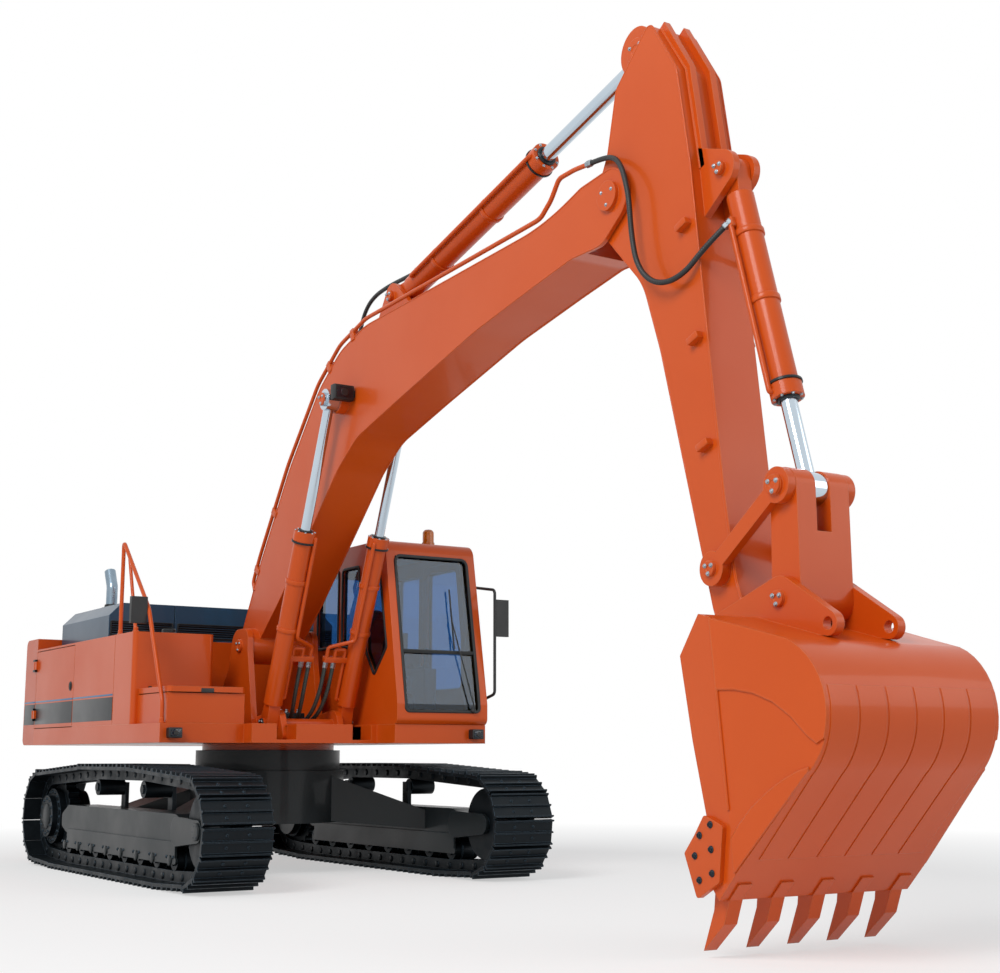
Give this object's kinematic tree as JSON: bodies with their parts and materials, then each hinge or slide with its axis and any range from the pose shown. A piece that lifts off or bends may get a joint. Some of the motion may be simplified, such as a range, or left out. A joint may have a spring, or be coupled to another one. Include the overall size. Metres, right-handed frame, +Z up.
{
  "type": "crawler excavator",
  "caption": "Tracked excavator with a slewing upper body, cab, boom, arm and bucket, moved by cylinders, with doors and lids that open.",
  "frame": {"origin": "centre of the footprint's bounding box, on the ground under the tracks", "axes": "+X forward to the bucket, +Y to the cab's side (left), +Z up"},
  "size_m": [11.7584, 3.346, 6.0553],
  "materials": {
    "track_iron": "dark worn iron",
    "black_paint": "black paint",
    "orange_paint": "gloss orange-red paint",
    "counterweight_paint": "gloss orange-red paint on a casting",
    "engine_iron": "dark casting",
    "slate_paint": "slate grey-blue paint",
    "exhaust_steel": "bare steel",
    "window_glass": "clear glass",
    "seat_fabric": "dark woven cover",
    "black_plastic": "matte moulded plastic",
    "amber_plastic": "amber lens",
    "rod_chrome": "polished chrome"
  },
  "bodies": {
    "undercarriage": {"track_right": "track_iron", "track_left": "track_iron", "drive_sprockets": "track_iron", "front_idlers": "track_iron", "lower_rollers": "track_iron", "carrier_rollers": "track_iron", "track_frame_right": "black_paint", "track_frame_left": "black_paint", "car_body": "black_paint", "slewing_ring": "black_paint"},
    "upper": {"main_frame": "orange_paint", "boom_bracket": "orange_paint", "counterweight": "counterweight_paint", "engine_block": "engine_iron", "hood_cover": "slate_paint", "side_panels": "orange_paint", "door_hinges": "black_paint", "fuel_tank": "orange_paint", "tool_box": "orange_paint", "handrails": "orange_paint", "exhaust_pipe": "exhaust_steel", "cab_shell": "orange_paint", "cab_glass": "window_glass", "seat": "seat_fabric", "console": "black_plastic", "mirrors": "black_plastic", "work_lamps": "black_plastic", "beacon": "amber_plastic"},
    "engine_hood": {"engine_hood": "slate_paint"},
    "pump_door": {"pump_door": "orange_paint"},
    "radiator_door": {"radiator_door": "orange_paint"},
    "tool_box_lid": {"tool_box_lid": "orange_paint"},
    "cab_door": {"cab_door": "orange_paint", "cab_door_glass": "window_glass"},
    "boom": {"boom": "orange_paint"},
    "arm": {"arm": "orange_paint"},
    "boom_tubes": {"boom_tubes": "orange_paint"},
    "boom_rods": {"boom_rods": "rod_chrome"},
    "arm_tube": {"arm_tube": "orange_paint"},
    "arm_rod": {"arm_rod": "rod_chrome"},
    "bucket_tube": {"bucket_tube": "orange_paint"},
    "bucket_rod": {"bucket_rod": "rod_chrome"},
    "side_links": {"side_links": "orange_paint"},
    "h_link": {"h_link": "orange_paint"},
    "bucket": {"bucket": "orange_paint", "bucket_teeth": "orange_paint", "side_cutters": "orange_paint"}
  },
  "joints": [
    {"name": "swing", "type": "hinge", "parent": "undercarriage", "child": "upper", "pos_m": [-2.39, 0, 0], "axis": [0, 0, 1], "continuous": true},
    {"name": "boom_lift", "type": "hinge", "parent": "upper", "child": "boom", "pos_m": [-2.283, 0, 2.13], "axis": [0, -1, 0], "range_deg": [-55, 35]},
    {"name": "arm_crowd", "type": "hinge", "parent": "boom", "child": "arm", "pos_m": [3.54529, 0, 4.85769], "axis": [0, 1, 0], "range_deg": [-62, 51]},
    {"name": "bucket_curl", "type": "hinge", "parent": "arm", "child": "bucket", "pos_m": [4.6857, 0, 1.7994], "axis": [0, 1, 0], "range_deg": [-45, 120]},
    {"name": "boom_cylinder_swing", "type": "hinge", "parent": "upper", "child": "boom_tubes", "pos_m": [-1.553, 0, 1.382], "axis": [0, -1, 0], "range_deg": [-51.27, 32.63]},
    {"name": "boom_rod_slide", "type": "slide", "parent": "boom_tubes", "child": "boom_rods", "axis": [0.3735, 0, 0.9276], "range_m": [-0.90882, 0.57834]},
    {"name": "arm_cylinder_swing", "type": "hinge", "parent": "boom", "child": "arm_tube", "pos_m": [0.20993, 0, 5.02021], "axis": [0, 1, 0], "range_deg": [-4.43, 3.64]},
    {"name": "arm_rod_slide", "type": "slide", "parent": "arm_tube", "child": "arm_rod", "axis": [0.9711, 0, 0.2389], "range_m": [-1.08773, 0.89474]},
    {"name": "bucket_cylinder_swing", "type": "hinge", "parent": "arm", "child": "bucket_tube", "pos_m": [4.56522, 0, 4.74707], "axis": [0, 1, 0], "range_deg": [-0.46, 1.22]},
    {"name": "bucket_rod_slide", "type": "slide", "parent": "bucket_tube", "child": "bucket_rod", "axis": [0.2614, 0, -0.9652], "range_m": [-0.34884, 0.93024]},
    {"name": "side_link_swing", "type": "hinge", "parent": "arm", "child": "side_links", "pos_m": [4.55733, 0, 2.19231], "axis": [0, 1, 0], "range_deg": [-30.29, 80.78]},
    {"name": "h_link_swing", "type": "hinge", "parent": "bucket", "child": "h_link", "pos_m": [5.14034, 0, 1.96225], "axis": [0, 1, 0], "range_deg": [-75.89, 28.46]},
    {"name": "cab_door_hinge", "type": "hinge", "parent": "upper", "child": "cab_door", "pos_m": [-1.922, 1.51, 1.5], "axis": [0, 0, 1], "range_deg": [0, 165]},
    {"name": "pump_door_hinge", "type": "hinge", "parent": "upper", "child": "pump_door", "pos_m": [-5.132, -1.51, 1.5], "axis": [0, 0, -1], "range_deg": [0, 130]},
    {"name": "radiator_door_hinge", "type": "hinge", "parent": "upper", "child": "radiator_door", "pos_m": [-5.132, 1.51, 1.5], "axis": [0, 0, 1], "range_deg": [0, 130]},
    {"name": "engine_hood_hinge", "type": "hinge", "parent": "upper", "child": "engine_hood", "pos_m": [-3.522, 0, 2.228], "axis": [0, 1, 0], "range_deg": [0, 65]},
    {"name": "tool_box_lid_hinge", "type": "hinge", "parent": "upper", "child": "tool_box_lid", "pos_m": [-2.07, 0, 1.705], "axis": [0, -1, 0], "range_deg": [0, 80]}
  ],
  "couplings": [
    {"joint": "boom_cylinder_swing", "follows": "boom_lift", "ratio": 0.914},
    {"joint": "boom_rod_slide", "follows": "boom_lift", "m_per_rad": 0.92819},
    {"joint": "arm_cylinder_swing", "follows": "arm_crowd", "ratio": 0.07},
    {"joint": "arm_rod_slide", "follows": "arm_crowd", "m_per_rad": 0.98549},
    {"joint": "bucket_cylinder_swing", "follows": "bucket_curl", "ratio": 0.01},
    {"joint": "bucket_rod_slide", "follows": "bucket_curl", "m_per_rad": 0.43545},
    {"joint": "side_link_swing", "follows": "bucket_curl", "ratio": 0.66},
    {"joint": "h_link_swing", "follows": "bucket_curl", "ratio": -0.62}
  ]
}
